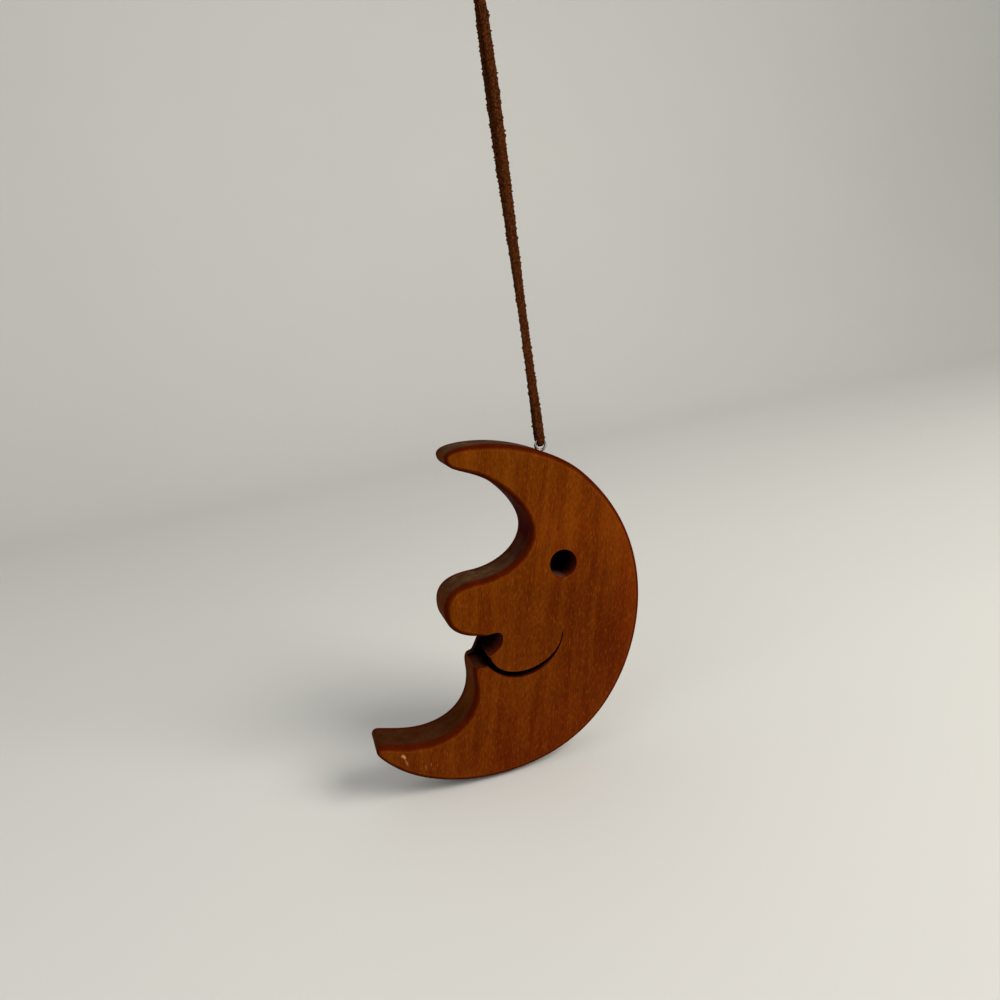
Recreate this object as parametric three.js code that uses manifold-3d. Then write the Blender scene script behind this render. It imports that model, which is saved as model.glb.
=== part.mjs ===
// A wooden crescent moon with a face in profile, hung by a suede lace from a screw eye in its top edge.
// Millimetres, +Z up. The front of the board looks towards -Y and the moon's face towards -X.
// The origin is just under the knot, between the two strands, where the lace hangs on a nail.

import * as THREE from 'three';
import { mergeVertices } from 'three/addons/utils/BufferGeometryUtils.js';
import Module from 'manifold-3d';

// Board
const BOARD_THICKNESS = 19;
const EDGE_ROUND = 2;
const EYE_DIAMETER = 12;
const EYE_CENTRE = [0, -49.4];
const CUT_DEPTH = 15;
const CUT_MARGIN = 3;

// Screw eye
const WIRE_DIAMETER = 1.15;
const RING_OUTER_DIAMETER = 5.4;
const RING_SINK = 0.2;
const SHANK_LENGTH = 12;
const FIT_GAP = 0.3;

// Lace
const LACE_WIDTH = 3.1;
const LACE_THICKNESS = 1.5;
const LACE_DROP = 182;
const LACE_PINCH = 0.68;
const PINCH_HEIGHT = [0.6, 2.7];
const KNOT_RADII = [4.4, 3.4, 4.6];
const KNOT_HEIGHT = 7.6;
const TAILS = [
  { length: 10, lean: -18, side: -1 },
  { length: 7, lean: 30, side: 1 },
];

// Facets
const CURVE_STEPS = 12;
const ROUND_STEPS = 3;
const WIRE_SIDES = 10;
const RING_STEPS = 40;
const HOLE_SIDES = 40;
const STEPS_PER_LACE_POINT = 2;

// The outline is measured across (X) and up (Z) from a point RING_SINK above the ring's centre.
// Each row is one curve: two control points, then the end point.
const OUTLINE_START = [-42, 2.8];
const OUTLINE = [
  // Tip and back of the upper horn, and the round outer edge down to the lower horn
  [-42, 5.2, -38, 6.5, -32.5, 6.5],
  [-14.5, 6.5, 5, -3.8, 14, -13.5],
  [27, -27.5, 33.4, -44, 33.4, -62],
  [33.4, -81.5, 25.3, -103.2, 9.7, -118.3],
  [-4, -131.4, -21, -136.2, -37.5, -136.2],
  [-56, -136.2, -74.7, -129, -84.2, -117.5],
  // Tip of the lower horn, its hollow upper edge and the chin
  [-85.8, -115.6, -87.4, -113.7, -88.9, -111.9],
  [-90.3, -110.2, -88.6, -107.7, -86.5, -108.4],
  [-80, -110.5, -74, -112.6, -68, -112.6],
  [-54, -112.6, -44.8, -104, -44.8, -91],
  // Lower lip, and a straight run up behind the mouth and the nostril
  [-44.8, -87.2, -44.6, -84.6, -42.2, -84.3],
  [-41.4, -84.2, -40.8, -83.9, -40.4, -83.2],
  [-39, -80.9, -37, -77.8, -35, -74.8],
  // Underside, tip and bridge of the nose
  [-36.5, -73.9, -38, -72.6, -40, -72.3],
  [-46.6, -71.2, -52.5, -67.6, -52.5, -60.5],
  [-52.5, -52, -47, -48.7, -36.5, -48.7],
  // Hollow brow and the underside of the upper horn
  [-23.5, -49, -11.8, -41.5, -11.8, -31.5],
  [-11.8, -24, -19, -12, -29, -7],
  [-36, -4, -42, -1, -42, 2.8],
];

// Mouth: the upper lip's edge out to the cheek, the lower lip's edge back, over the lip and out into the open
const MOUTH_START = [-37, -81.8];
const MOUTH = [
  [-34.3, -96.6, -7.9, -93.5, -4.7, -79.3],
  [-4.5, -79, -4.2, -79, -4.1, -79.2],
  [-7.6, -93.8, -28.6, -100, -38.4, -86],
  [-41, -85.8, -44, -85.3, -47, -84.5],
  [-46, -83.2, -41, -82.3, -37, -81.8],
];

// Nostril: a round notch between the underside of the nose and the upper lip
const NOSTRIL_START = [-39.8, -72.4];
const NOSTRIL = [
  [-37.5, -72.2, -35.5, -72.1, -33.5, -72.1],
  [-28.9, -71.6, -28.4, -78.9, -37, -81.6],
  [-40, -83.2, -43, -84.2, -46, -84.4],
  [-45, -80, -42, -75, -39.8, -72.4],
];

// Route of the lace from the screw eye's centre: down the front strand, through the eye, up the back strand
const LACE_ROUTE = [
  [-1.4, -0.4, 184.8], [-1.4, -0.5, 184.2], [-2.6, -0.6, 181.5], [-1.9, -0.8, 175], [0.1, -1.1, 167],
  [0.55, -1.5, 150], [0.55, -1.8, 130], [0.35, -2, 110], [0, -2.1, 92], [-0.3, -2.1, 72], [-0.6, -2.1, 56],
  [-0.6, -2.1, 40], [-0.4, -2, 26], [-0.1, -1.9, 15], [0, -1.9, 7], [0, -1.9, 3],
  [0, -1.45, 1], [0, 0, 0.2], [0, 1.45, 1],
  [0, 1.9, 3], [0, 1.9, 7], [0.1, 1.9, 15], [0.4, 2, 26], [0.6, 2.1, 40],
  [0.6, 2.1, 56], [0.3, 2.1, 72], [0, 2.1, 92], [-0.35, 2, 110], [-0.55, 1.8, 130],
  [-0.55, 1.5, 150], [-0.1, 1.1, 167], [1.9, 0.8, 175], [2.6, 0.6, 181.5], [1.4, 0.5, 184.2],
  [1.4, 0.4, 184.8],
];

const wasm = await Module();
wasm.setup();

function toSolid(geometry) {
  const plain = geometry.clone();
  plain.deleteAttribute('normal');
  plain.deleteAttribute('uv');
  const merged = mergeVertices(plain, 1e-4);
  return new wasm.Manifold(new wasm.Mesh({
    numProp: 3,
    vertProperties: new Float32Array(merged.attributes.position.array),
    triVerts: new Uint32Array(merged.index.array),
  }));
}

function toGeometry(solid) {
  const mesh = solid.getMesh();
  const geometry = new THREE.BufferGeometry();
  geometry.setAttribute('position', new THREE.BufferAttribute(mesh.vertProperties, 3));
  geometry.setIndex(new THREE.BufferAttribute(mesh.triVerts, 1));
  geometry.computeVertexNormals();
  return geometry;
}

function curvedShape(start, curves) {
  const shape = new THREE.Shape();
  shape.moveTo(...start);
  for (const curve of curves) shape.bezierCurveTo(...curve);
  return shape;
}

// A shape drawn across and up becomes a slab centred on the board's middle plane.
function slab(shape, thickness, round) {
  const geometry = new THREE.ExtrudeGeometry(shape, {
    depth: thickness - 2 * round,
    curveSegments: CURVE_STEPS,
    bevelEnabled: round > 0,
    bevelThickness: round,
    bevelSize: round,
    bevelOffset: -round,
    bevelSegments: ROUND_STEPS,
  });
  geometry.translate(0, 0, round - thickness / 2);
  geometry.rotateX(Math.PI / 2);
  return geometry;
}

function tube(section, path, steps, curveSegments) {
  return new THREE.ExtrudeGeometry(section, { extrudePath: path, steps, curveSegments });
}

function ringGeometry(wireRadius) {
  const radius = (RING_OUTER_DIAMETER - WIRE_DIAMETER) / 2;
  return new THREE.TorusGeometry(radius, wireRadius, WIRE_SIDES, RING_STEPS).rotateX(Math.PI / 2);
}

// Moon: the ring is screwed down hard enough to dent the edge.
function moonGeometry() {
  const blank = slab(curvedShape(OUTLINE_START, OUTLINE), BOARD_THICKNESS, EDGE_ROUND);
  const cutLength = CUT_DEPTH + CUT_MARGIN;
  const mouth = slab(curvedShape(MOUTH_START, MOUTH), cutLength, 0);
  const nostril = slab(curvedShape(NOSTRIL_START, NOSTRIL), cutLength, 0);
  const eye = new THREE.CylinderGeometry(EYE_DIAMETER / 2, EYE_DIAMETER / 2, cutLength, HOLE_SIDES);
  eye.translate(EYE_CENTRE[0], 0, EYE_CENTRE[1]);
  const cutMiddle = cutLength / 2 - BOARD_THICKNESS / 2 - CUT_MARGIN;
  for (const cut of [mouth, nostril, eye]) cut.translate(0, cutMiddle, 0);

  const pilotRadius = WIRE_DIAMETER / 2 + FIT_GAP;
  const pilotLength = SHANK_LENGTH + FIT_GAP;
  const pilot = new THREE.CylinderGeometry(pilotRadius, pilotRadius, pilotLength, WIRE_SIDES);
  pilot.rotateX(Math.PI / 2);
  pilot.translate(0, 0, pilotLength / 2 - RING_SINK - RING_OUTER_DIAMETER / 2 - SHANK_LENGTH);
  const dent = ringGeometry(WIRE_DIAMETER / 2 + FIT_GAP);
  dent.translate(0, 0, -RING_SINK);

  let solid = toSolid(blank);
  for (const cut of [mouth, nostril, eye, pilot, dent]) solid = solid.subtract(toSolid(cut));
  return toGeometry(solid);
}

// Screw eye: a closed ring of wire on a straight shank, which goes down into the board.
function screwEyeGeometry() {
  const wireRadius = WIRE_DIAMETER / 2;
  const shankTop = wireRadius - RING_OUTER_DIAMETER / 2;
  const shankEnd = FIT_GAP - RING_OUTER_DIAMETER / 2 - SHANK_LENGTH;
  const shank = new THREE.CylinderGeometry(wireRadius, wireRadius, shankTop - shankEnd, WIRE_SIDES);
  shank.rotateX(Math.PI / 2);
  shank.translate(0, 0, (shankTop + shankEnd) / 2);
  return toGeometry(toSolid(ringGeometry(wireRadius)).add(toSolid(shank)));
}

// A flat eight-sided section with eased edges
function laceSection() {
  const half = LACE_WIDTH / 2;
  const thick = LACE_THICKNESS / 2;
  const corners = [
    [1, 0.5], [0.75, 1], [-0.75, 1], [-1, 0.5],
    [-1, -0.5], [-0.75, -1], [0.75, -1], [1, -0.5],
  ];
  return new THREE.Shape(corners.map(([x, y]) => new THREE.Vector2(x * half, y * thick)));
}

// Lace: stations follow the route's own points, and the lace is pinched narrow where it fills the ring.
function laceGeometry() {
  const route = new THREE.CatmullRomCurve3(LACE_ROUTE.map((point) => new THREE.Vector3(...point)));
  route.getUtoTmapping = (u) => u;
  const steps = (LACE_ROUTE.length - 1) * STEPS_PER_LACE_POINT;
  const geometry = tube(laceSection(), route, steps, 1);
  const position = geometry.attributes.position;
  for (let i = 0; i < position.count; i++) {
    const open = THREE.MathUtils.smoothstep(position.getZ(i), ...PINCH_HEIGHT);
    position.setX(i, position.getX(i) * THREE.MathUtils.lerp(LACE_PINCH, 1, open));
  }
  return geometry;
}

// Knot: a tight round body with the two ends of the lace sticking out of its top.
function knotGeometry() {
  const body = new THREE.SphereGeometry(1, 16, 10);
  body.rotateX(Math.PI / 2);
  body.scale(...KNOT_RADII);
  body.translate(0, 0, KNOT_HEIGHT);
  let solid = toSolid(body);
  for (const { length, lean, side } of TAILS) {
    const reach = KNOT_RADII[2] + length;
    const tail = new THREE.BoxGeometry(LACE_WIDTH, LACE_THICKNESS, reach);
    tail.translate(0, 0, reach / 2);
    tail.rotateY(THREE.MathUtils.degToRad(lean));
    tail.translate(side * LACE_WIDTH / 3, side * LACE_THICKNESS / 2, KNOT_HEIGHT);
    solid = solid.add(toSolid(tail));
  }
  return toGeometry(solid);
}

function piece(name, geometry, color, roughness, metalness) {
  const mesh = new THREE.Mesh(geometry, new THREE.MeshStandardMaterial({ color, roughness, metalness }));
  mesh.name = name;
  return mesh;
}

const hanging = new THREE.Group();
const fromScrewEye = new THREE.Group();
fromScrewEye.position.z = -LACE_DROP;
const moon = piece('moon', moonGeometry(), 0x8a4210, 0.45, 0);
moon.position.z = RING_SINK;
fromScrewEye.add(moon);
fromScrewEye.add(piece('screw_eye', screwEyeGeometry(), 0xc9c9c4, 0.25, 1));
fromScrewEye.add(piece('leather_lace', laceGeometry(), 0x5a2c12, 0.95, 0));
hanging.add(fromScrewEye);
hanging.add(piece('lace_knot', knotGeometry(), 0x5a2c12, 0.95, 0));

export default hanging;
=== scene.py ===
import math

import bmesh
import bpy
from mathutils import Matrix, Vector, noise
from mathutils.geometry import interpolate_bezier


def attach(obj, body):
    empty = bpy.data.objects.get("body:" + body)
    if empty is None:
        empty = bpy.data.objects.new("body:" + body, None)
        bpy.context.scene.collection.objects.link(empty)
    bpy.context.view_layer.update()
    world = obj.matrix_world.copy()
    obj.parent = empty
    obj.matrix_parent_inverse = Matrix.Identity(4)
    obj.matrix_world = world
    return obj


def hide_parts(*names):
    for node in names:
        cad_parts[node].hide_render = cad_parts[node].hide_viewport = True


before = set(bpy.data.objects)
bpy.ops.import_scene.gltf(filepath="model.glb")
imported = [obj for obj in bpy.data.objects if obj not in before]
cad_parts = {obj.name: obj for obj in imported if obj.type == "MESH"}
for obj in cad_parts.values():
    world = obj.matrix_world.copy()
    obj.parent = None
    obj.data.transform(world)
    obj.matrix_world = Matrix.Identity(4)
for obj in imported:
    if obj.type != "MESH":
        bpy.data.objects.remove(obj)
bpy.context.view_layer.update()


# Moon blank: a crescent with a face in profile, sawn from a 19 mm birch board. Both sides were rounded over
# all the way round before the openings were cut: less at the tips, at the lip and under the nose, and less
# behind than in front.

MM = 0.001
BOARD_THICKNESS = 19 * MM
EDGE_ROUND = 2.8 * MM
EDGE_ROUND_STEPS = 7
BACK_ROUND_SHARE = 0.4
TIGHT_ROUND_SHARE = 0.7
TIGHT_FROM = 3 * MM
TIGHT_TO = 13 * MM
OUTLINE_STEP = 0.9 * MM
LEAST_STEPS = 3
DRAWING_ORIGIN = Vector((0, 0, -181.8 * MM))

# Across and up from a point just above the ring's centre, in millimetres.
# Each row is one curve: two control points, then the end point.
OUTLINE_START = (-42.3, 2.6)
OUTLINE = (
    (-42.3, 5.2, -38.8, 6.15, -32.5, 6.15),
    (-14.5, 6.15, 5.4, -3.3, 14.25, -13.25),
    (27, -27.5, 33.4, -44, 33.4, -62),
    (33.4, -81.5, 25.5, -103.4, 9.9, -118.5),
    (-3.8, -131.6, -21, -136.2, -37.5, -136.2),
    (-56, -136.2, -75, -129.5, -84.9, -118.25),
    (-86.6, -116.3, -88.4, -114.2, -89.4, -112.1),
    (-90.2, -110.4, -88.9, -108.15, -86.5, -108.85),
    (-80.4, -110.65, -74, -112.6, -68, -112.6),
    (-54, -112.6, -44.8, -104, -44.8, -91),
    (-44.8, -87.2, -44.6, -84.6, -42.2, -84.3),
    (-41.4, -84.2, -40.8, -83.9, -40.4, -83.2),
    (-39, -80.9, -37, -77.8, -35, -74.8),
    (-36.5, -73.9, -38, -72.6, -40, -72.3),
    (-46.6, -71.2, -52.5, -67.6, -52.5, -60.5),
    (-52.5, -52, -47, -48.7, -36.5, -48.7),
    (-23.5, -49, -11.8, -41.5, -11.8, -31.5),
    (-11.8, -24, -19.4, -12.8, -29, -7),
    (-36.3, -2.6, -42.3, -2.2, -42.3, 2.6),
)
# The tips of the upper and lower horn, the lip and the corner under the nose.
TIGHT_SPOTS = ((-39, 2), (-88, -109.5), (-44, -86.5), (-35, -74.8))


def board_point(across, up, depth=0.0):
    """A point of the board's drawing, given in millimetres, in the part's frame."""
    return DRAWING_ORIGIN + Vector((across, depth, up)) * MM


def drawn(start, curves):
    """Points along a closed run of curves, in the board's middle plane."""
    here = board_point(*start)
    points = []
    for row in curves:
        first, second, end = (board_point(*row[i:i + 2]) for i in (0, 2, 4))
        reach = (first - here).length + (second - first).length + (end - second).length
        steps = max(LEAST_STEPS, round(reach / OUTLINE_STEP))
        points += interpolate_bezier(here, first, second, end, steps + 1)[:-1]
        here = end
    return points


def sawn(points, thickness, front_depth):
    """A slab of that outline, with its front that far behind the board's middle plane."""
    slab = bmesh.new()
    front = slab.faces.new([slab.verts.new(p) for p in points])
    bmesh.ops.translate(slab, verts=slab.verts, vec=(0, front_depth, 0))
    grown = bmesh.ops.extrude_face_region(slab, geom=[front])["geom"]
    back = [v for v in grown if isinstance(v, bmesh.types.BMVert)]
    bmesh.ops.translate(slab, verts=back, vec=(0, thickness, 0))
    bmesh.ops.recalc_face_normals(slab, faces=slab.faces)
    return slab


def finished(name, shape, *materials):
    """The shape as an object of that name, with its materials."""
    data = bpy.data.meshes.new(name)
    shape.to_mesh(data)
    shape.free()
    for material in materials:
        data.materials.append(material)
    made = bpy.data.objects.new(name, data)
    bpy.context.scene.collection.objects.link(made)
    return made


def eased(value, start, end):
    """0 up to start, 1 from end on, and a smooth rise between them."""
    share = min(max((value - start) / (end - start), 0), 1)
    return share * share * (3 - 2 * share)


blank = sawn(drawn(OUTLINE_START, OUTLINE), BOARD_THICKNESS, -BOARD_THICKNESS / 2)

# The edges round the front and the back are rounded over, not those that run through the thickness.
rounding = blank.edges.layers.float.new("bevel_weight_edge")
for e in blank.edges:
    middle = (e.verts[0].co + e.verts[1].co) / 2
    if abs(middle.y) > MM:
        room = min((board_point(*spot, middle.y / MM) - middle).length for spot in TIGHT_SPOTS)
        e[rounding] = TIGHT_ROUND_SHARE + (1 - TIGHT_ROUND_SHARE) * eased(room, TIGHT_FROM, TIGHT_TO)
        if middle.y > 0:
            e[rounding] *= BACK_ROUND_SHARE


# Stained birch: close, short-flecked grain that leans to the right, wiped with a red-brown stain, varnished
# satin. The stain took unevenly: redder in streaks and low on the right, dark red along the rounded edges.
# Painted sheen lightens the brow and the right edge, painted shade darkens the cheek, and the walls, brown
# with the grain and darker across it, carry a painted sheen where they look up.

GRAIN_LEAN = math.radians(12.5)
GRAIN_WAY = (math.sin(GRAIN_LEAN), 0, math.cos(GRAIN_LEAN))
STREAK_SIZE = (5 * MM, 5 * MM, 60 * MM)
MOTTLE_SIZE = (5 * MM, 5 * MM, 9 * MM)
# Birch has finer fibres and pores than these, which are as coarse as they need to be to show.
FIBRE_SIZE = (0.45 * MM, 0.45 * MM, 2.4 * MM)
PORE_SIZE = (0.55 * MM, 0.55 * MM, 2 * MM)
FIBRE_RELIEF = 0.05 * MM
REDDER_WAY = (0.75, 0, -0.66)
REDDER_FROM = 90 * MM
REDDER_TO = 195 * MM
BROW_SHEEN_CENTRE = (1 * MM, 0, -219 * MM)
BROW_SHEEN_REACH = 24 * MM
CHEEK_SHADE_CENTRE = (4 * MM, 0, -258 * MM)
CHEEK_SHADE_FROM = 8 * MM
CHEEK_SHADE_REACH = 45 * MM
RIGHT_SHEEN_FROM = 18 * MM
RIGHT_SHEEN_TO = 28 * MM
RED_EDGE_FROM = 5 * MM
RED_EDGE_TO = 8 * MM
RED_BAY_FROM = -32 * MM
RED_BAY_TO = -16 * MM
WEB_CENTRE = (-38.5 * MM, 0, -261.1 * MM)
WEB_SHADE_TO = 4.5 * MM
WEB_SHADE_ENDS = 6.5 * MM
WALL_SHEEN_FROM = -290 * MM
WALL_SHEEN_TO = -240 * MM


def paint(code):
    """An sRGB hex colour as the linear RGBA that shaders take."""
    shares = [int(code[i:i + 2], 16) / 255 for i in (1, 3, 5)]
    return [s / 12.92 if s <= 0.04045 else ((s + 0.055) / 1.055) ** 2.4 for s in shares] + [1.0]


def add_node(material, kind, links=None, **settings):
    """Adds a node. Settings are its properties; links are its sockets, each fed by a value or an output."""
    made = material.node_tree.nodes.new("ShaderNode" + kind)
    for name, value in settings.items():
        setattr(made, name, value)
    for socket, value in (links or {}).items():
        if isinstance(value, bpy.types.NodeSocket):
            material.node_tree.links.new(value, made.inputs[socket])
        else:
            made.inputs[socket].default_value = value
    return made


# The sockets of a colour Mix node: the second colour's share, the two colours and the result.
SHARE, FIRST, SECOND = 0, 6, 7
MIXED = 2

birch = bpy.data.materials.new("stained_birch")
birch.use_nodes = True
birch_shader = birch.node_tree.nodes["Principled BSDF"]
birch_shader.inputs["Specular IOR Level"].default_value = 0.08
birch_shader.inputs["Specular Tint"].default_value = paint("#ff9a3a")
birch_place = add_node(birch, "TexCoord")
grain_places = []
for grain_size in (STREAK_SIZE, MOTTLE_SIZE, FIBRE_SIZE, PORE_SIZE):
    grain_places.append(add_node(birch, "Mapping", {
        "Vector": birch_place.outputs["Object"], "Rotation": (0, GRAIN_LEAN, 0), "Scale": grain_size,
    }, vector_type="TEXTURE"))
streak_place, mottle_place, fibre_place, pore_place = grain_places
streaks = add_node(birch, "TexNoise", {
    "Vector": streak_place.outputs["Vector"], "Scale": 1, "Detail": 3, "Roughness": 0.55, "Distortion": 0.4})
mottle = add_node(birch, "TexNoise", {
    "Vector": mottle_place.outputs["Vector"], "Scale": 1, "Detail": 3, "Roughness": 0.6})
fibres = add_node(birch, "TexNoise", {
    "Vector": fibre_place.outputs["Vector"], "Scale": 1, "Detail": 2, "Roughness": 0.6})
flecks = add_node(birch, "TexNoise", {
    "Vector": pore_place.outputs["Vector"], "Scale": 1, "Detail": 1, "Roughness": 0.5})
streak_tone = add_node(birch, "MapRange", {
    "Value": streaks.outputs["Fac"], "From Min": 0.3, "From Max": 0.7, "To Min": 0.88, "To Max": 1.11})
mottle_tone = add_node(birch, "MapRange", {
    "Value": mottle.outputs["Fac"], "From Min": 0.3, "From Max": 0.7, "To Min": 0.88, "To Max": 1.12})
fibre_tone = add_node(birch, "MapRange", {
    "Value": fibres.outputs["Fac"], "From Min": 0.25, "From Max": 0.75, "To Min": 0.72, "To Max": 1.28})
broad_tone = add_node(birch, "Math", {
    0: streak_tone.outputs["Result"], 1: mottle_tone.outputs["Result"]}, operation="MULTIPLY")
wood_tone = add_node(birch, "Math", {
    0: broad_tone.outputs["Value"], 1: fibre_tone.outputs["Result"]}, operation="MULTIPLY")

# Painted sheen round the brow and towards the right edge, painted shade on the cheek.
from_middle = add_node(birch, "SeparateXYZ", {"Vector": birch_place.outputs["Object"]})
level_place = add_node(birch, "VectorMath", {
    0: birch_place.outputs["Object"], 1: (1, 0, 1)}, operation="MULTIPLY")
brow_sheen_reach = add_node(birch, "VectorMath", {
    0: level_place.outputs["Vector"], 1: BROW_SHEEN_CENTRE}, operation="DISTANCE")
cheek_shade_reach = add_node(birch, "VectorMath", {
    0: level_place.outputs["Vector"], 1: CHEEK_SHADE_CENTRE}, operation="DISTANCE")
painted_brow_sheen = add_node(birch, "MapRange", {
    "Value": brow_sheen_reach.outputs["Value"], "From Max": BROW_SHEEN_REACH, "To Min": 1.3, "To Max": 1})
painted_cheek_shade = add_node(birch, "MapRange", {
    "Value": cheek_shade_reach.outputs["Value"], "From Min": CHEEK_SHADE_FROM, "From Max": CHEEK_SHADE_REACH,
    "To Min": 0.85, "To Max": 1})
painted_right_sheen = add_node(birch, "MapRange", {
    "Value": from_middle.outputs["X"], "From Min": RIGHT_SHEEN_FROM, "From Max": RIGHT_SHEEN_TO,
    "To Min": 1, "To Max": 1.3})
painted_sheen_and_shade = add_node(birch, "Math", {
    0: painted_brow_sheen.outputs["Result"], 1: painted_cheek_shade.outputs["Result"]}, operation="MULTIPLY")
painted_light_tone = add_node(birch, "Math", {
    0: painted_sheen_and_shade.outputs["Value"], 1: painted_right_sheen.outputs["Result"]}, operation="MULTIPLY")
grain_and_painted_light_tone = add_node(birch, "Math", {
    0: wood_tone.outputs["Value"], 1: painted_light_tone.outputs["Value"]}, operation="MULTIPLY")

redder_place = add_node(birch, "VectorMath", {
    0: birch_place.outputs["Object"], 1: REDDER_WAY}, operation="DOT_PRODUCT")
redder_low = add_node(birch, "MapRange", {
    "Value": redder_place.outputs["Value"], "From Min": REDDER_FROM, "From Max": REDDER_TO,
    "To Min": 0, "To Max": 0.85})
redder_streaks = add_node(birch, "MapRange", {
    "Value": streaks.outputs["Fac"], "From Min": 0.6, "From Max": 0.36, "To Min": -0.16, "To Max": 0.32})
redness = add_node(birch, "Math", {
    0: redder_low.outputs["Result"], 1: redder_streaks.outputs["Result"]}, operation="ADD", use_clamp=True)
stain = add_node(birch, "Mix", {
    SHARE: redness.outputs["Value"], FIRST: paint("#653004"), SECOND: paint("#581d02")}, data_type="RGBA")
toned = add_node(birch, "VectorMath", {
    0: stain.outputs[MIXED], "Scale": grain_and_painted_light_tone.outputs["Value"]}, operation="SCALE")
dark_flecks = add_node(birch, "MapRange", {
    "Value": flecks.outputs["Fac"], "From Min": 0.58, "From Max": 0.74, "To Min": 0, "To Max": 0.36})
pale_flecks = add_node(birch, "MapRange", {
    "Value": flecks.outputs["Fac"], "From Min": 0.42, "From Max": 0.26, "To Min": 0, "To Max": 0.34})
pored = add_node(birch, "Mix", {
    SHARE: dark_flecks.outputs["Result"], FIRST: toned.outputs["Vector"],
    SECOND: paint("#3a1202")}, data_type="RGBA")
flecked = add_node(birch, "Mix", {
    SHARE: pale_flecks.outputs["Result"], FIRST: pored.outputs[MIXED],
    SECOND: paint("#8c4c0c")}, data_type="RGBA")

# How squarely the surface looks forwards or back: 1 on the faces, 0 on the walls, between on the round-over.
facing = add_node(birch, "SeparateXYZ", {"Vector": birch_place.outputs["Normal"]})
flatness = add_node(birch, "Math", {0: facing.outputs["Y"]}, operation="ABSOLUTE")
face_share = add_node(birch, "MapRange", {
    "Value": flatness.outputs["Value"], "From Min": 0.82, "From Max": 0.996})
# A thin pale line where the face meets the round-over: partly wear, partly a painted highlight.
rim_start = add_node(birch, "MapRange", {
    "Value": flatness.outputs["Value"], "From Min": 0.97, "From Max": 0.99, "To Min": 0, "To Max": 0.15})
rim_end = add_node(birch, "MapRange", {
    "Value": flatness.outputs["Value"], "From Min": 0.992, "From Max": 0.9995, "To Min": 1, "To Max": 0})
rim_wear_and_highlight = add_node(birch, "Math", {
    0: rim_start.outputs["Result"], 1: rim_end.outputs["Result"]}, operation="MULTIPLY")

# The walls: brown with the grain, darker across it, redder to the right, with a painted sheen where they
# look up.
along_grain = add_node(birch, "VectorMath", {
    0: birch_place.outputs["Normal"], 1: GRAIN_WAY}, operation="DOT_PRODUCT")
across_grain = add_node(birch, "Math", {0: along_grain.outputs["Value"]}, operation="ABSOLUTE")
end_grain = add_node(birch, "MapRange", {
    "Value": across_grain.outputs["Value"], "From Min": 0.3, "From Max": 0.85})
wall_stain = add_node(birch, "Mix", {
    SHARE: end_grain.outputs["Result"], FIRST: paint("#552703"), SECOND: paint("#3b1703")}, data_type="RGBA")
bay_share = add_node(birch, "MapRange", {
    "Value": from_middle.outputs["X"], "From Min": RED_BAY_FROM, "From Max": RED_BAY_TO})
bay_stain = add_node(birch, "Mix", {
    SHARE: bay_share.outputs["Result"], FIRST: wall_stain.outputs[MIXED],
    SECOND: paint("#380a02")}, data_type="RGBA")
# Painted sheen where the walls look up: stronger higher up, and in patches.
wall_sheen_facing = add_node(birch, "MapRange", {
    "Value": facing.outputs["Z"], "From Min": 0.3, "From Max": 1, "To Min": 0, "To Max": 0.2})
wall_sheen_height = add_node(birch, "MapRange", {
    "Value": from_middle.outputs["Z"], "From Min": WALL_SHEEN_FROM, "From Max": WALL_SHEEN_TO,
    "To Min": 0.3, "To Max": 1})
wall_sheen_patches = add_node(birch, "MapRange", {
    "Value": mottle.outputs["Fac"], "From Min": 0.35, "From Max": 0.65, "To Min": 0.6, "To Max": 1.4})
wall_sheen_reach = add_node(birch, "Math", {
    0: wall_sheen_facing.outputs["Result"], 1: wall_sheen_height.outputs["Result"]}, operation="MULTIPLY")
wall_sheen_share = add_node(birch, "Math", {
    0: wall_sheen_reach.outputs["Value"], 1: wall_sheen_patches.outputs["Result"]}, operation="MULTIPLY")
painted_wall_sheen = add_node(birch, "Mix", {
    SHARE: wall_sheen_share.outputs["Value"], FIRST: bay_stain.outputs[MIXED],
    SECOND: paint("#7a6448")}, data_type="RGBA")
off_middle = add_node(birch, "Math", {0: from_middle.outputs["Y"]}, operation="ABSOLUTE")
red_edge = add_node(birch, "MapRange", {
    "Value": off_middle.outputs["Value"], "From Min": RED_EDGE_FROM, "From Max": RED_EDGE_TO})
edge_stain_and_sheen = add_node(birch, "Mix", {
    SHARE: red_edge.outputs["Result"], FIRST: painted_wall_sheen.outputs[MIXED],
    SECOND: paint("#461202")}, data_type="RGBA")

# Painted shade darkens the thin edge behind the mouth and the nostril.
web_reach = add_node(birch, "VectorMath", {
    0: level_place.outputs["Vector"], 1: WEB_CENTRE}, operation="DISTANCE")
painted_web_shade = add_node(birch, "MapRange", {
    "Value": web_reach.outputs["Value"], "From Min": WEB_SHADE_TO, "From Max": WEB_SHADE_ENDS,
    "To Min": 0.3, "To Max": 1})
edge_grain_and_shade = add_node(birch, "Math", {
    0: wood_tone.outputs["Value"], 1: painted_web_shade.outputs["Result"]}, operation="MULTIPLY")
edge_with_painted_light = add_node(birch, "VectorMath", {
    0: edge_stain_and_sheen.outputs[MIXED], "Scale": edge_grain_and_shade.outputs["Value"]}, operation="SCALE")
edged = add_node(birch, "Mix", {
    SHARE: face_share.outputs["Result"], FIRST: edge_with_painted_light.outputs["Vector"],
    SECOND: flecked.outputs[MIXED]}, data_type="RGBA")
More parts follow.
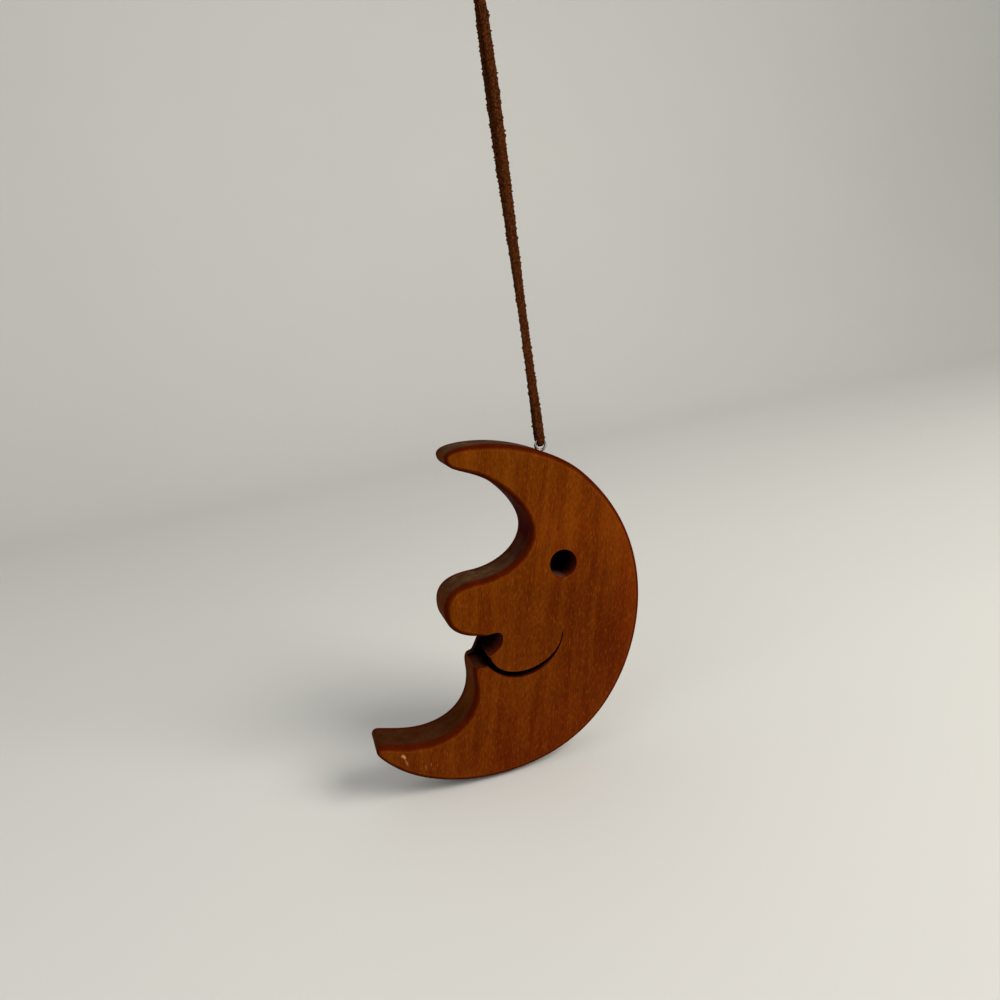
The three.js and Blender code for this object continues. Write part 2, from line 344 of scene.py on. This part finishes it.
# The pale line along the face's edge is partly wear and partly a painted highlight.
worn_and_highlit = add_node(birch, "Mix", {
    SHARE: rim_wear_and_highlight.outputs["Value"], FIRST: edged.outputs[MIXED],
    SECOND: paint("#9a5a1c")}, data_type="RGBA")
birch_bump = add_node(birch, "Bump", {
    "Strength": 0.2, "Distance": FIBRE_RELIEF, "Height": fibres.outputs["Fac"]})
birch_gloss = add_node(birch, "MapRange", {
    "Value": mottle.outputs["Fac"], "From Min": 0.3, "From Max": 0.7, "To Min": 0.46, "To Max": 0.36})
birch.node_tree.links.new(worn_and_highlit.outputs[MIXED], birch_shader.inputs["Base Color"])
birch.node_tree.links.new(birch_gloss.outputs["Result"], birch_shader.inputs["Roughness"])
birch.node_tree.links.new(birch_bump.outputs["Normal"], birch_shader.inputs["Normal"])

# The varnish has sunk into the sawn walls and the round-over, so they hardly shine.
sunk_birch = birch.copy()
sunk_birch.name = "stained_birch_sawn_edge"
sunk_birch.node_tree.nodes[birch_shader.name].inputs["Specular IOR Level"].default_value = 0.003
sunk_birch.node_tree.nodes[birch_gloss.name].inputs["To Min"].default_value = 0.66
sunk_birch.node_tree.nodes[birch_gloss.name].inputs["To Max"].default_value = 0.54


# Openings of the face: a carved smile that runs out over the lower lip, a nostril and a drilled eye, all cut
# after the round-over and not quite through. Their raw end grain drank the stain and is matt; painted shade
# makes it almost black deeper in, darkest on the walls that look sideways or down.

CUT_DEPTH = 15 * MM
CUT_MARGIN = 3 * MM
CUT_FRONT = -BOARD_THICKNESS / 2 - CUT_MARGIN
CUT_BOTTOM = CUT_DEPTH - BOARD_THICKNESS / 2
MERGE_WITHIN = 0.001 * MM
SAW_MARK_SIZE = (0.7 * MM, 2.5 * MM, 0.7 * MM)
SAW_MARK_RELIEF = 0.1 * MM
SAWN_SHADE_DEPTH = -7 * MM
BORED_SHADE_DEPTH = 0.5 * MM
LIT_PATCH_WAY = (0.4, 0, 0.92)
LIP_START = -38 * MM
LIP_END = -41 * MM
EYE_CENTRE = (0, -49.4)
EYE_RADIUS = 5.75 * MM
EYE_EASE = 0.25 * MM
EASE_BULGE = 0.3
HOLE_SIDES = 72
MOUTH_START = (-37, -81.8)
MOUTH = (
    (-34.3, -96.6, -7.9, -93.5, -4.7, -79.3),
    (-4.5, -79, -4.2, -79, -4.1, -79.2),
    (-7.6, -93.8, -28.6, -100.9, -38.4, -86),
    (-41, -85.8, -44, -85.3, -47, -84.5),
    (-46, -83.2, -41, -82.3, -37, -81.8),
)
NOSTRIL_START = (-39.8, -72.4)
NOSTRIL = (
    (-37.5, -72.2, -35.5, -72.1, -33.5, -72.1),
    (-28.9, -71.6, -28.4, -78.9, -37, -81.6),
    (-40, -83.2, -43, -84.2, -46, -84.4),
    (-45, -80, -42, -75, -39.8, -72.4),
)

soaked_and_shaded = bpy.data.materials.new("end_grain_stain_and_painted_shade")
soaked_and_shaded.use_nodes = True
soaked_shader = soaked_and_shaded.node_tree.nodes["Principled BSDF"]
soaked_shader.inputs["Roughness"].default_value = 0.6
soaked_shader.inputs["Specular IOR Level"].default_value = 0.01
soaked_place = add_node(soaked_and_shaded, "TexCoord")
soaked_size = add_node(soaked_and_shaded, "Mapping", {
    "Vector": soaked_place.outputs["Object"], "Scale": SAW_MARK_SIZE}, vector_type="TEXTURE")
saw_marks = add_node(soaked_and_shaded, "TexNoise", {"Vector": soaked_size.outputs["Vector"], "Scale": 1, "Detail": 2})
soaked_along = add_node(soaked_and_shaded, "SeparateXYZ", {"Vector": soaked_place.outputs["Object"]})
soaked_facing = add_node(soaked_and_shaded, "SeparateXYZ", {"Vector": soaked_place.outputs["Normal"]})
# Painted shade: the cut walls go from dark red-brown at the front to almost black deeper in.
painted_depth_shade = add_node(soaked_and_shaded, "MapRange", {
    "Value": soaked_along.outputs["Y"], "From Min": -BOARD_THICKNESS / 2, "From Max": SAWN_SHADE_DEPTH})
stain_and_depth_shade = add_node(soaked_and_shaded, "Mix", {
    SHARE: painted_depth_shade.outputs["Result"], FIRST: paint("#5a1d08"),
    SECOND: paint("#0a0201")}, data_type="RGBA")

# The cut's floor over the lower lip is a plain dull brown.
lip_across = add_node(soaked_and_shaded, "MapRange", {
    "Value": soaked_along.outputs["X"], "From Min": LIP_START, "From Max": LIP_END})
lip_up = add_node(soaked_and_shaded, "MapRange", {
    "Value": soaked_facing.outputs["Z"], "From Min": 0.5, "From Max": 0.9})
lip_share = add_node(soaked_and_shaded, "Math", {
    0: lip_across.outputs["Result"], 1: lip_up.outputs["Result"]}, operation="MULTIPLY")
lip_tone = add_node(soaked_and_shaded, "Mix", {
    SHARE: lip_share.outputs["Value"], FIRST: stain_and_depth_shade.outputs[MIXED],
    SECOND: paint("#3c1a08")}, data_type="RGBA")
grain_tone = add_node(soaked_and_shaded, "MapRange", {
    "Value": saw_marks.outputs["Fac"], "From Min": 0.3, "From Max": 0.7, "To Min": 0.7, "To Max": 1.3})
# Painted shade: walls that look sideways or down are darker.
painted_side_shade = add_node(soaked_and_shaded, "MapRange", {
    "Value": soaked_facing.outputs["Z"], "From Min": -0.1, "From Max": 0.7, "To Min": 0.4, "To Max": 1})
saw_grain_and_side_shade = add_node(soaked_and_shaded, "Math", {
    0: grain_tone.outputs["Result"], 1: painted_side_shade.outputs["Result"]}, operation="MULTIPLY")

# A painted lit patch on walls that look up and to the right: none in the narrow mouth, so its share is 0
# here; the copy for the wider openings has some.
lit_patch_side = add_node(soaked_and_shaded, "VectorMath", {
    0: soaked_place.outputs["Normal"], 1: LIT_PATCH_WAY}, operation="DOT_PRODUCT")
lit_patch_share = add_node(soaked_and_shaded, "MapRange", {
    "Value": lit_patch_side.outputs["Value"], "From Min": 0.84, "From Max": 0.98, "To Min": 0, "To Max": 0})
painted_lit_patch = add_node(soaked_and_shaded, "Mix", {
    SHARE: lit_patch_share.outputs["Result"], FIRST: lip_tone.outputs[MIXED],
    SECOND: paint("#5c4238")}, data_type="RGBA")
soaked_grain_and_shade = add_node(soaked_and_shaded, "VectorMath", {
    0: painted_lit_patch.outputs[MIXED], "Scale": saw_grain_and_side_shade.outputs["Value"]}, operation="SCALE")
saw_bump = add_node(soaked_and_shaded, "Bump", {
    "Strength": 0.4, "Distance": SAW_MARK_RELIEF, "Height": saw_marks.outputs["Fac"]})
soaked_and_shaded.node_tree.links.new(soaked_grain_and_shade.outputs["Vector"], soaked_shader.inputs["Base Color"])
soaked_and_shaded.node_tree.links.new(saw_bump.outputs["Normal"], soaked_shader.inputs["Normal"])

# The wider nostril and eye let in more light: their painted shade deepens more slowly, and a painted lit
# patch lies low on the left.
bored = soaked_and_shaded.copy()
bored.name = "bore_stain_and_painted_light"
bored.node_tree.nodes[painted_depth_shade.name].inputs["From Max"].default_value = BORED_SHADE_DEPTH
bored.node_tree.nodes[stain_and_depth_shade.name].inputs[SECOND].default_value = paint("#180a06")
bored.node_tree.nodes[lit_patch_share.name].inputs["To Max"].default_value = 0.6

cut_length = CUT_DEPTH + CUT_MARGIN
mouth = finished("mouth_cut", sawn(drawn(MOUTH_START, MOUTH), cut_length, CUT_FRONT), soaked_and_shaded)
nostril = finished("nostril_cut", sawn(drawn(NOSTRIL_START, NOSTRIL), cut_length, CUT_FRONT), bored)

eye_axis = board_point(*EYE_CENTRE)
eye_profile = (
    (0, CUT_FRONT),
    (EYE_RADIUS + EYE_EASE, CUT_FRONT),
    (EYE_RADIUS + EYE_EASE, -BOARD_THICKNESS / 2),
    (EYE_RADIUS + EASE_BULGE * EYE_EASE, -BOARD_THICKNESS / 2 + EASE_BULGE * EYE_EASE),
    (EYE_RADIUS, -BOARD_THICKNESS / 2 + EYE_EASE),
    (EYE_RADIUS, CUT_BOTTOM),
    (0, CUT_BOTTOM),
)
drill = bmesh.new()
turned = [drill.verts.new(eye_axis + Vector((r, depth, 0))) for r, depth in eye_profile]
for a, b in zip(turned, turned[1:]):
    drill.edges.new((a, b))
bmesh.ops.spin(drill, geom=drill.verts[:] + drill.edges[:], cent=eye_axis, axis=(0, 1, 0),
               angle=math.tau, steps=HOLE_SIDES, use_merge=True)
bmesh.ops.remove_doubles(drill, verts=drill.verts, dist=MERGE_WITHIN)
bmesh.ops.recalc_face_normals(drill, faces=drill.faces)
eye = finished("eye_cut", drill, bored)


# Chips: bare birch shows pale and matt where the lower horn has been knocked, and in a few short scratches
# beside it. The deeper one goes, the paler it is. They are knocked out of the front face, and the moon is
# then whole.

# Each row: place across and up, half width, half length, tilt and depth, in millimetres and degrees.
CHIPS = (
    (-79.1, -115.2, 0.65, 1.35, -16, 0.35),
    (-79.6, -114.6, 0.6, 0.9, 50, 0.28),
    (-78.6, -118, 0.5, 1.7, -12, 0.11),
    (-71.15, -122.5, 0.26, 1.2, 6, 0.14),
    (-68.9, -121.9, 0.22, 0.9, 8, 0.11),
    (-66.3, -122.8, 0.22, 0.8, 12, 0.12),
)
CHIP_PALE = 0.4 * MM
CHIP_RAGGEDNESS = 0.11 * MM
CHIP_RAG_SIZE = 0.7 * MM
CHIP_SEED = 3
TORN_FIBRE_SIZE = (0.5 * MM, 0.5 * MM, 3 * MM)
FLAT_FROM = 0.999
SHARP_FROM = math.radians(32)

bare = bpy.data.materials.new("bare_birch")
bare.use_nodes = True
bare_shader = bare.node_tree.nodes["Principled BSDF"]
bare_shader.inputs["Roughness"].default_value = 0.75
bare_shader.inputs["Specular IOR Level"].default_value = 0.05
bare_place = add_node(bare, "TexCoord")
bare_size = add_node(bare, "Mapping", {
    "Vector": bare_place.outputs["Object"], "Rotation": (0, GRAIN_LEAN, 0),
    "Scale": TORN_FIBRE_SIZE}, vector_type="TEXTURE")
torn_fibres = add_node(bare, "TexNoise", {"Vector": bare_size.outputs["Vector"], "Scale": 1, "Detail": 2})
torn_place = add_node(bare, "SeparateXYZ", {"Vector": bare_place.outputs["Object"]})
torn_depth = add_node(bare, "MapRange", {
    "Value": torn_place.outputs["Y"],
    "From Min": -BOARD_THICKNESS / 2, "From Max": CHIP_PALE - BOARD_THICKNESS / 2})
bare_tone = add_node(bare, "Mix", {
    SHARE: torn_depth.outputs["Result"], FIRST: paint("#6a300a"),
    SECOND: paint("#c28e58")}, data_type="RGBA")
torn_tone = add_node(bare, "MapRange", {
    "Value": torn_fibres.outputs["Fac"], "From Min": 0.3, "From Max": 0.7, "To Min": 0.75, "To Max": 1.15})
bare_torn = add_node(bare, "VectorMath", {
    0: bare_tone.outputs[MIXED], "Scale": torn_tone.outputs["Result"]}, operation="SCALE")
bare.node_tree.links.new(bare_torn.outputs["Vector"], bare_shader.inputs["Base Color"])

knocks = bmesh.new()
for across, up, half_width, half_length, tilt, depth in CHIPS:
    place = (Matrix.Translation(board_point(across, up) - Vector((0, BOARD_THICKNESS / 2, 0)))
             @ Matrix.Rotation(math.radians(tilt), 4, "Y")
             @ Matrix.Diagonal((half_width * MM, depth * MM, half_length * MM, 1)))
    bmesh.ops.create_icosphere(knocks, subdivisions=3, radius=1, matrix=place)
noise.seed_set(CHIP_SEED)
for v in knocks.verts:
    v.co += noise.noise_vector(v.co / CHIP_RAG_SIZE) * CHIP_RAGGEDNESS
chips = finished("chip_cut", knocks, bare)

# The blank is rounded over, the openings and the chips are cut, and the walls get the sunk varnish.
moon = finished("moon_body", blank, birch, sunk_birch)
round_over = moon.modifiers.new("round over", "BEVEL")
round_over.limit_method = "WEIGHT"
round_over.offset_type = "OFFSET"
round_over.width = EDGE_ROUND
round_over.segments = EDGE_ROUND_STEPS
round_over.profile = 0.5
round_over.use_clamp_overlap = False
for cutter in (mouth, nostril, eye, chips):
    cut = moon.modifiers.new(cutter.name, "BOOLEAN")
    cut.object = cutter
    cut.operation = "DIFFERENCE"
    cut.solver = "EXACT"
    cut.use_self = cutter is chips
    cut.material_mode = "TRANSFER"
whole = bpy.data.meshes.new_from_object(moon.evaluated_get(bpy.context.evaluated_depsgraph_get()))
moon.modifiers.clear()
moon.data = whole
for cutter in (mouth, nostril, eye, chips):
    bpy.data.objects.remove(cutter)
for f in whole.polygons:
    if f.material_index == 0 and abs(f.normal.y) < FLAT_FROM:
        f.material_index = 1
whole.shade_smooth()
whole.set_sharp_from_angle(angle=SHARP_FROM)
flat_faces = moon.modifiers.new("flat faces stay flat", "WEIGHTED_NORMAL")
flat_faces.keep_sharp = True
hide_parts("moon")
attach(moon, "root")


# Screw eye: bright zinc-plated wire bent round into a closed ring and turned down into a shank, which is
# screwed into the moon's top edge until the ring bites into it.

WIRE_RADIUS = 0.575 * MM
RING_RADIUS = 2.125 * MM
RING_CENTRE = Vector((0, 0, -182 * MM))
RING_DEGREES = range(-98, 239, 4)
SHANK_LENGTH = 12 * MM
SHANK_POINT = 0.3 * MM
# From the shank's top, across and up in wire radii.
SHANK_BEND = ((-1, 0.67), (0, -1.2))
WIRE_STEPS = 3
WIRE_SIDES = 20
SEAM_WITHIN = 0.00001 * MM
TARNISH_SIZE = (0.6 * MM, 0.6 * MM, 0.6 * MM)


def smooth_path(points, steps):
    """Points along one smooth curve through the given ones, with that many steps in each span.

    A handle is a sixth of the line between the points before and after its own."""
    run = [2 * points[0] - points[1], *points, 2 * points[-1] - points[-2]]
    path = []
    for before, here, after, beyond in zip(run, run[1:], run[2:], run[3:]):
        path += interpolate_bezier(here, here + (after - before) / 6, after - (beyond - here) / 6, after,
                                   steps + 1)[:-1]
    return path + [points[-1]]


def swept(path, half_width, half_thickness, sides, squareness, flats, nap=None):
    """A bar carried along the path, with its ends closed.

    flats gives the way that the broad face looks at each point of the path. nap gives how far the surface
    stands up at a point, from the point and its nearness to the bar's narrow edges."""
    bar = bmesh.new()
    bar.loops.layers.uv.new("UVMap")
    bmesh.ops.create_grid(bar, x_segments=len(path) - 1, y_segments=sides, size=0.5, calc_uvs=True)
    rows = len(path) - 1
    for v in bar.verts:
        i = round((v.co.x + 0.5) * rows)
        turn = math.tau * (round((v.co.y + 0.5) * sides) % sides) / sides
        along = (path[min(i + 1, rows)] - path[max(i - 1, 0)]).normalized()
        out = (flats[i] - along * flats[i].dot(along)).normalized()
        side = along.cross(out)
        c, s = math.cos(turn), math.sin(turn)
        wide = math.copysign(abs(c) ** squareness, c) * half_width
        high = math.copysign(abs(s) ** squareness, s) * half_thickness
        v.co = path[i] + side * wide + out * high
        if nap:
            v.co += (side * c + out * s).normalized() * nap(v.co, c * c)
    bmesh.ops.remove_doubles(bar, verts=bar.verts, dist=SEAM_WITHIN)
    bmesh.ops.holes_fill(bar, edges=[e for e in bar.edges if e.is_boundary])
    bmesh.ops.recalc_face_normals(bar, faces=bar.faces)
    for f in bar.faces:
        f.smooth = len(f.verts) == 4
    return bar


wire_points = []
for degrees in RING_DEGREES:
    angle = math.radians(degrees)
    wire_points.append(RING_CENTRE + Vector((math.cos(angle), 0, math.sin(angle))) * RING_RADIUS)
shank_top = RING_CENTRE - Vector((0, 0, RING_RADIUS + WIRE_RADIUS))
wire_points += [shank_top + Vector((across, 0, up)) * WIRE_RADIUS for across, up in SHANK_BEND]
for sunk in (SHANK_LENGTH / 2, SHANK_LENGTH - SHANK_POINT):
    wire_points.append(shank_top - Vector((0, 0, sunk)))
wire_path = smooth_path(wire_points, WIRE_STEPS)

# Zinc plate: bright metal that mirrors its surroundings, with duller, darker patches of tarnish.
zinc = bpy.data.materials.new("bright_zinc_plate")
zinc.use_nodes = True
zinc_shader = zinc.node_tree.nodes["Principled BSDF"]
zinc_shader.inputs["Metallic"].default_value = 1
zinc_place = add_node(zinc, "TexCoord")
zinc_size = add_node(zinc, "Mapping", {
    "Vector": zinc_place.outputs["Object"], "Scale": TARNISH_SIZE}, vector_type="TEXTURE")
tarnish = add_node(zinc, "TexNoise", {"Vector": zinc_size.outputs["Vector"], "Scale": 1, "Detail": 3})
zinc_tone = add_node(zinc, "Mix", {
    SHARE: tarnish.outputs["Fac"], FIRST: paint("#77746c"), SECOND: paint("#c4c1b9")}, data_type="RGBA")
zinc_gloss = add_node(zinc, "MapRange", {"Value": tarnish.outputs["Fac"], "To Min": 0.26, "To Max": 0.1})
zinc.node_tree.links.new(zinc_tone.outputs[MIXED], zinc_shader.inputs["Base Color"])
zinc.node_tree.links.new(zinc_gloss.outputs["Result"], zinc_shader.inputs["Roughness"])

ring = finished("screw_eye_wire", swept(
    wire_path, WIRE_RADIUS, WIRE_RADIUS, WIRE_SIDES, squareness=1,
    flats=[Vector((0, -1, 0))] * len(wire_path)), zinc)
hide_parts("screw_eye")
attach(ring, "root")


# Lace: a flat suede thong that comes down from the knot in front, goes through the ring and back up behind.
# The ring pinches it narrow, and its nap stands rough along the cut edges.

LACE_WIDTH = 3.1 * MM
LACE_THICKNESS = 1.5 * MM
LACE_PINCH = 0.68
PINCH_FROM = 0.6 * MM
PINCH_TO = 2.7 * MM
LACE_STEPS = 40
LACE_STATION = 0.14 * MM
LACE_SIDES = 24
LACE_SQUARENESS = 0.55
NAP_ROUGHNESS = 0.3 * MM
NAP_SIZE = 0.5 * MM
NAP_SHARE = 0.4
TUFT_SIZE = 0.8 * MM
TUFT_FROM = 0.05
TUFT_SHARE = 3.4
# Suede's own nap is finer than this, which is as coarse as it needs to be to show.
NAP_PATCH_SIZE = (0.55 * MM, 0.55 * MM, 0.8 * MM)
NAP_RELIEF = 0.25 * MM
# From the ring's centre, in millimetres.
LACE_ROUTE = (
    (-1.4, -0.4, 184.8), (-1.4, -0.5, 184.2), (-2.6, -0.6, 181.5), (-1.9, -0.8, 175), (0.1, -1.1, 167),
    (0.55, -1.5, 150), (0.55, -1.8, 130), (0.35, -2, 110), (0, -2.1, 92), (-0.3, -2.1, 72), (-0.6, -2.1, 56),
    (-0.6, -2.1, 40), (-0.4, -2, 26), (-0.1, -1.9, 15), (0, -1.9, 7), (0, -1.9, 3),
    (0, -1.45, 1), (0, 0, 0.2), (0, 1.45, 1),
    (0, 1.9, 3), (0, 1.9, 7), (0.1, 1.9, 15), (0.4, 2, 26), (0.6, 2.1, 40),
    (0.6, 2.1, 56), (0.3, 2.1, 72), (0, 2.1, 92), (-0.35, 2, 110), (-0.55, 1.8, 130),
    (-0.55, 1.5, 150), (-0.1, 1.1, 167), (1.9, 0.8, 175), (2.6, 0.6, 181.5), (1.4, 0.5, 184.2),
    (1.4, 0.4, 184.8),
)

# Suede: brushed leather with no shine, its nap lying light and dark in small patches.
suede = bpy.data.materials.new("brown_suede")
suede.use_nodes = True
suede_shader = suede.node_tree.nodes["Principled BSDF"]
suede_shader.inputs["Roughness"].default_value = 0.95
suede_shader.inputs["Specular IOR Level"].default_value = 0.05
suede_place = add_node(suede, "TexCoord")
nap_size = add_node(suede, "Mapping", {
    "Vector": suede_place.outputs["Object"], "Scale": NAP_PATCH_SIZE}, vector_type="TEXTURE")
nap_patches = add_node(suede, "TexNoise", {
    "Vector": nap_size.outputs["Vector"], "Scale": 1, "Detail": 4, "Roughness": 0.7})
nap_share = add_node(suede, "MapRange", {
    "Value": nap_patches.outputs["Fac"], "From Min": 0.41, "From Max": 0.61})
nap_tone = add_node(suede, "Mix", {
    SHARE: nap_share.outputs["Result"], FIRST: paint("#190802"), SECOND: paint("#5a2c0d")}, data_type="RGBA")
nap_bump = add_node(suede, "Bump", {
    "Strength": 0.7, "Distance": NAP_RELIEF, "Height": nap_patches.outputs["Fac"]})
suede.node_tree.links.new(nap_tone.outputs[MIXED], suede_shader.inputs["Base Color"])
suede.node_tree.links.new(nap_bump.outputs["Normal"], suede_shader.inputs["Normal"])


def evenly(path, spacing):
    """The same path with its points that far apart."""
    reach = [0]
    for a, b in zip(path, path[1:]):
        reach.append(reach[-1] + (b - a).length)
    count = round(reach[-1] / spacing)
    even = []
    i = 0
    for k in range(count + 1):
        wanted = reach[-1] * k / count
        while i < len(path) - 2 and reach[i + 1] < wanted:
            i += 1
        even.append(path[i].lerp(path[i + 1], (wanted - reach[i]) / (reach[i + 1] - reach[i])))
    return even


def standing_nap(point, edge_share):
    """How far the nap stands up there: a little all over, with loose tufts along the cut edges."""
    tuft = max(0, noise.noise(point / TUFT_SIZE) - TUFT_FROM) * edge_share
    return NAP_ROUGHNESS * (NAP_SHARE * noise.noise(point / NAP_SIZE) + TUFT_SHARE * tuft)


lace_points = [RING_CENTRE + Vector(p) * MM for p in LACE_ROUTE]
lace_path = evenly(smooth_path(lace_points, LACE_STEPS), LACE_STATION)
lace_flats = []
for i in range(len(lace_path)):
    along = (lace_path[min(i + 1, len(lace_path) - 1)] - lace_path[max(i - 1, 0)]).normalized()
    lace_flats.append(Vector((1, 0, 0)).cross(along))
thong = swept(lace_path, LACE_WIDTH / 2, LACE_THICKNESS / 2, LACE_SIDES, LACE_SQUARENESS, lace_flats,
              standing_nap)
for v in thong.verts:
    v.co.x *= LACE_PINCH + (1 - LACE_PINCH) * eased(v.co.z - RING_CENTRE.z, PINCH_FROM, PINCH_TO)
lace = finished("suede_lace", thong, suede)
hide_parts("leather_lace")
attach(lace, "root")


# Knot: the lace's two ends lie flat on each other and are tied together in one overhand knot, with a turn
# round themselves, and the cut ends stick out of its top.

KNOT_CENTRE = Vector((0, 0, 7.6 * MM))
TURN_DEGREES = range(170, 560, 30)
TURN_RADIUS = 2.6 * MM
TURN_DEPTH_SHARE = 0.8
TURN_TOP = 2.4 * MM
TURN_DROP = 4.6 * MM
KNOT_STEPS = 10
# From the knot's centre, in millimetres. Each row of the ways in and out is a place, and how far to either
# side of it the two ends lie. Each end is its side of the pair, and the place where its tail stops.
WAY_IN = (
    ((0, 0, -4.8), (1.4, 0.4, 0)),
    ((-0.3, 0.9, -2.5), (0.7, 0.3, 0)),
    ((-0.6, 0.6, 1.2), (0, 0.7, 0)),
)
WAY_OUT = (
    ((-0.6, -0.9, -3.2), (0, 0.5, 0)),
    ((0.5, -0.7, 0), (0, 0.5, 0)),
    ((0.6, -0.2, 4.4), (0.5, 0.6, 0)),
)
KNOT_ENDS = (
    (-1, (-5.2, -0.6, 13.6)),
    (1, (6.0, 0.8, 10.2)),
)
LOOKS_IN = ((0, 1, 0), (0, 1, 0), (0.3, 1, 0.3))
LOOKS_OUT = ((0, -1, 0), (0, -1, 0), (0, -1, 0))
TAIL_TWIST = 0.2

knot_shape = bmesh.new()
knot_shape.loops.layers.uv.new("UVMap")
for side, tail_end in KNOT_ENDS:
    radius = TURN_RADIUS + side * LACE_THICKNESS / 2
    points = [(Vector(place) + side * Vector(apart)) * MM for place, apart in WAY_IN]
    looks = [Vector(look) for look in LOOKS_IN]
    for degrees in TURN_DEGREES:
        angle = math.radians(degrees)
        drop = (degrees - TURN_DEGREES.start) / 360
        spoke = Vector((math.cos(angle), math.sin(angle) * TURN_DEPTH_SHARE, 0))
        points.append(spoke * radius + Vector((0, 0, TURN_TOP - TURN_DROP * drop)))
        looks.append(spoke)
    points += [(Vector(place) + side * Vector(apart)) * MM for place, apart in WAY_OUT]
    points.append(Vector(tail_end) * MM)
    looks += [Vector(look) for look in LOOKS_OUT]
    looks.append(Vector((side * TAIL_TWIST, -1, 0)))
    knot_path = smooth_path([KNOT_CENTRE + p for p in points], KNOT_STEPS)
    knot_flats = smooth_path(looks, KNOT_STEPS)
    tied_end = swept(knot_path, LACE_WIDTH / 2, LACE_THICKNESS / 2, LACE_SIDES, LACE_SQUARENESS, knot_flats,
                     standing_nap)
    passed_on = bpy.data.meshes.new("tied_end")
    tied_end.to_mesh(passed_on)
    tied_end.free()
    knot_shape.from_mesh(passed_on)
    bpy.data.meshes.remove(passed_on)
knot = finished("tied_knot", knot_shape, suede)
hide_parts("lace_knot")
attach(knot, "root")


# Studio: a pale, matt, seamless card as floor and backdrop, a broad soft light from the upper right, a weak
# fill from the left and a pale surround.

FLOOR_HEIGHT = -319.5 * MM
COVE_RADIUS = 0.5
COVE_DEGREES = range(0, 91, 6)
BACKDROP_DISTANCE = 1.3
BACKDROP_HALF_WIDTH = 3.0
FLOOR_FRONT = -2.5
BACKDROP_TOP = 2.2
CARD_CLOUDS_PER_METRE = 3
LIGHT_TARGET = (-0.02, 0, -0.25)
SURROUND_STRENGTH = 0.45

card = bpy.data.materials.new("pale_card")
card.use_nodes = True
card_shader = card.node_tree.nodes["Principled BSDF"]
card_shader.inputs["Roughness"].default_value = 0.8
card_place = add_node(card, "TexCoord")
card_clouds = add_node(card, "TexNoise", {
    "Vector": card_place.outputs["Object"], "Scale": CARD_CLOUDS_PER_METRE, "Detail": 2})
card_tone = add_node(card, "Mix", {
    SHARE: card_clouds.outputs["Fac"], FIRST: paint("#e2e2df"), SECOND: paint("#e8e8e5")}, data_type="RGBA")
card.node_tree.links.new(card_tone.outputs[MIXED], card_shader.inputs["Base Color"])

sweep = bmesh.new()
profile = [(FLOOR_FRONT, FLOOR_HEIGHT)]
for degrees in COVE_DEGREES:
    angle = math.radians(degrees)
    profile.append((BACKDROP_DISTANCE - COVE_RADIUS + COVE_RADIUS * math.sin(angle),
                    FLOOR_HEIGHT + COVE_RADIUS * (1 - math.cos(angle))))
profile.append((BACKDROP_DISTANCE, BACKDROP_TOP))
side_line = [sweep.verts.new((-BACKDROP_HALF_WIDTH, y, z)) for y, z in profile]
for a, b in zip(side_line, side_line[1:]):
    sweep.edges.new((a, b))
drawn_out = bmesh.ops.extrude_edge_only(sweep, edges=sweep.edges[:])["geom"]
bmesh.ops.translate(sweep, verts=[v for v in drawn_out if isinstance(v, bmesh.types.BMVert)],
                    vec=(2 * BACKDROP_HALF_WIDTH, 0, 0))
for f in sweep.faces:
    f.smooth = True
backdrop = finished("seamless_backdrop", sweep, card)


def soft_light(name, place, size, power, colour):
    """A square soft box at that place, turned to the moon."""
    light = bpy.data.lights.new(name, "AREA")
    light.size = size
    light.energy = power
    light.color = paint(colour)[:3]
    holder = bpy.data.objects.new(name, light)
    holder.location = place
    holder.rotation_euler = (Vector(LIGHT_TARGET) - Vector(place)).to_track_quat("-Z", "Y").to_euler()
    bpy.context.scene.collection.objects.link(holder)


soft_light("key_light", place=(0.75, -0.85, 0.55), size=0.7, power=16, colour="#fff8ee")
soft_light("fill_light", place=(-1.0, -0.7, 0.2), size=1.0, power=3, colour="#f4f7ff")

world = bpy.data.worlds.new("pale_surround")
world.use_nodes = True
world.node_tree.nodes["Background"].inputs["Color"].default_value = paint("#e6e6e2")
world.node_tree.nodes["Background"].inputs["Strength"].default_value = SURROUND_STRENGTH
bpy.context.scene.world = world
bpy.context.scene.view_settings.view_transform = "Standard"


# Camera: close in front of the moon, to its left and above its middle, and rolled a little. Its place and
# lens were solved from the board's front and back edges. The lens and the sensor are in millimetres.

CAMERA_PLACE = Vector((-98.54, -304.30, -130.33)) * MM
CAMERA_PAN = math.radians(14.386)
CAMERA_TILT = math.radians(12.741)
CAMERA_ROLL = math.radians(-8.529)
CAMERA_LENS = 28.08
CAMERA_SENSOR = 36
CAMERA_NEAREST = 10 * MM

camera = bpy.data.objects.new("camera", bpy.data.cameras.new("camera"))
camera.data.sensor_width = CAMERA_SENSOR
camera.data.lens = CAMERA_LENS
camera.data.clip_start = CAMERA_NEAREST
camera.matrix_world = (Matrix.Translation(CAMERA_PLACE) @ Matrix.Rotation(-CAMERA_PAN, 4, "Z")
                       @ Matrix.Rotation(math.pi / 2 - CAMERA_TILT, 4, "X")
                       @ Matrix.Rotation(CAMERA_ROLL, 4, "Z"))
bpy.context.scene.collection.objects.link(camera)
bpy.context.scene.camera = camera
